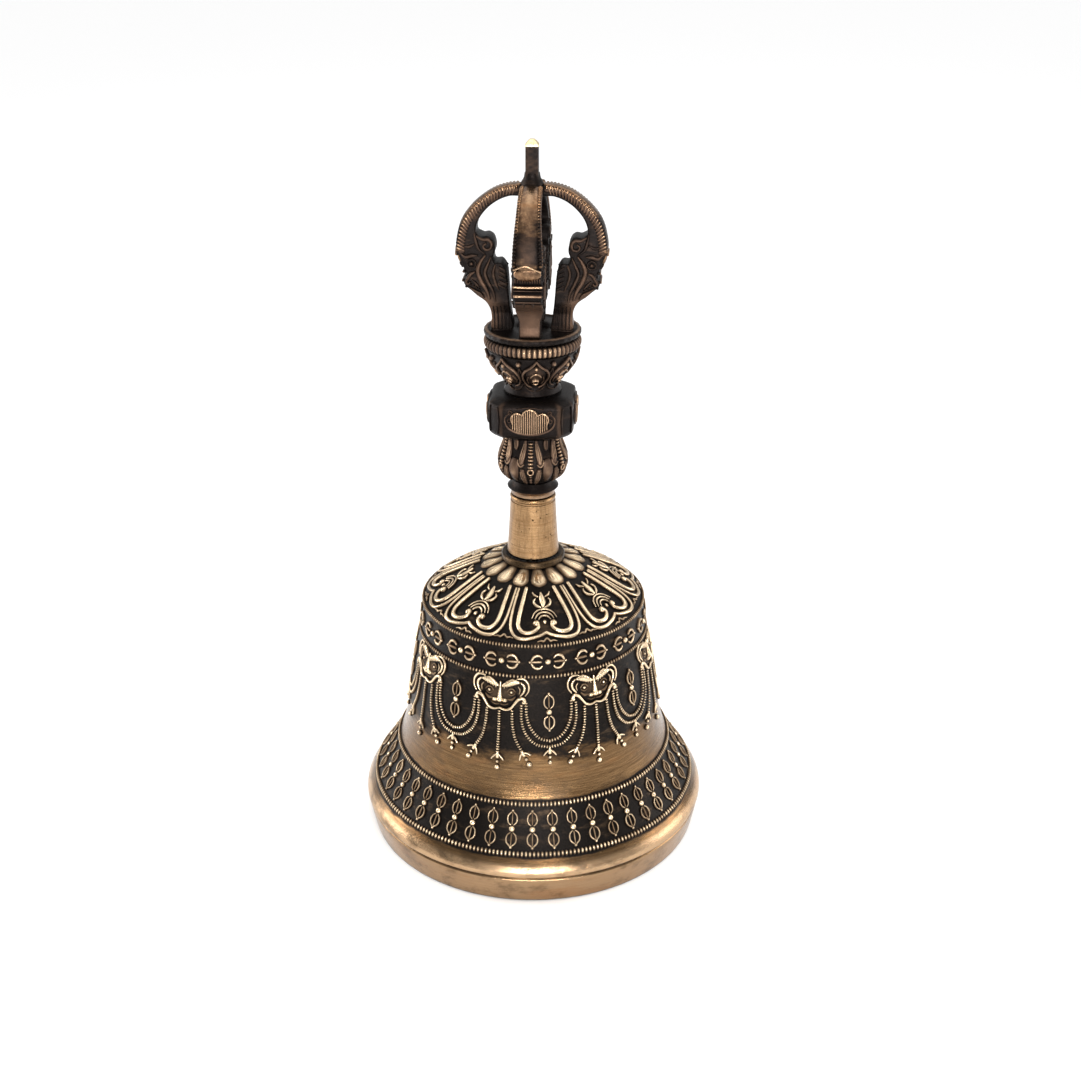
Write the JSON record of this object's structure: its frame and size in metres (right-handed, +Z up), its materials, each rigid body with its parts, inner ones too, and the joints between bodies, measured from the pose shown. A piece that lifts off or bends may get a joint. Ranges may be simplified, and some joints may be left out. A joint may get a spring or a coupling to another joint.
{
  "type": "tibetan hand bell",
  "caption": "Ritual hand bell with a flared, relief-decorated body, a turned and cast handle ending in a cage of curved prongs round a spike, and a free-swinging clapper.",
  "frame": {"origin": "on the bell's axis, in the plane of the rim's flat underside", "axes": "+Z up along the bell's axis to the tip of the handle; the prongs of the handle stand on +X, -X, +Y and -Y, and -Y is the side that is seen from the front"},
  "size_m": [0.088, 0.088, 0.1747],
  "materials": {
    "bell_bronze": "cast relief with dark patina in the recesses, worn bright on the high points, polished waist and lip",
    "handle_bronze": "dark brown patina over cast relief, coppery on the high points",
    "prong_bronze": "brown patina, rubbed to copper and brass on the outer faces",
    "neck_brass": "turned, with fine tool lines",
    "fixing_steel": "plain worn steel",
    "striker_brass": "dull, with small dents from striking"
  },
  "bodies": {
    "bell": {"bell_body": "bell_bronze", "neck_flange": "neck_brass", "neck_sleeve": "neck_brass", "neck_collar": "handle_bronze", "vase_knop": "handle_bronze", "handle_block": "handle_bronze", "lotus_cup": "handle_bronze", "bead_ring": "handle_bronze", "moon_disc": "handle_bronze", "prong_front": "prong_bronze", "prong_back": "prong_bronze", "prong_left": "prong_bronze", "prong_right": "prong_bronze", "centre_spike": "prong_bronze", "tie_rod": "fixing_steel", "crown_washer": "fixing_steel", "clapper_hanger": "fixing_steel"},
    "link": {"clapper_link": "fixing_steel"},
    "clapper": {"clapper_shank": "fixing_steel", "clapper_ball": "striker_brass"}
  },
  "joints": [
    {"name": "link_swing", "type": "hinge", "parent": "bell", "child": "link", "pos_m": [0, 0, 0.057], "axis": [1, 0, 0], "range_deg": [-13, 13]},
    {"name": "clapper_swing", "type": "hinge", "parent": "link", "child": "clapper", "pos_m": [0, 0, 0.05225], "axis": [0, 1, 0], "range_deg": [-36, 36]}
  ]
}
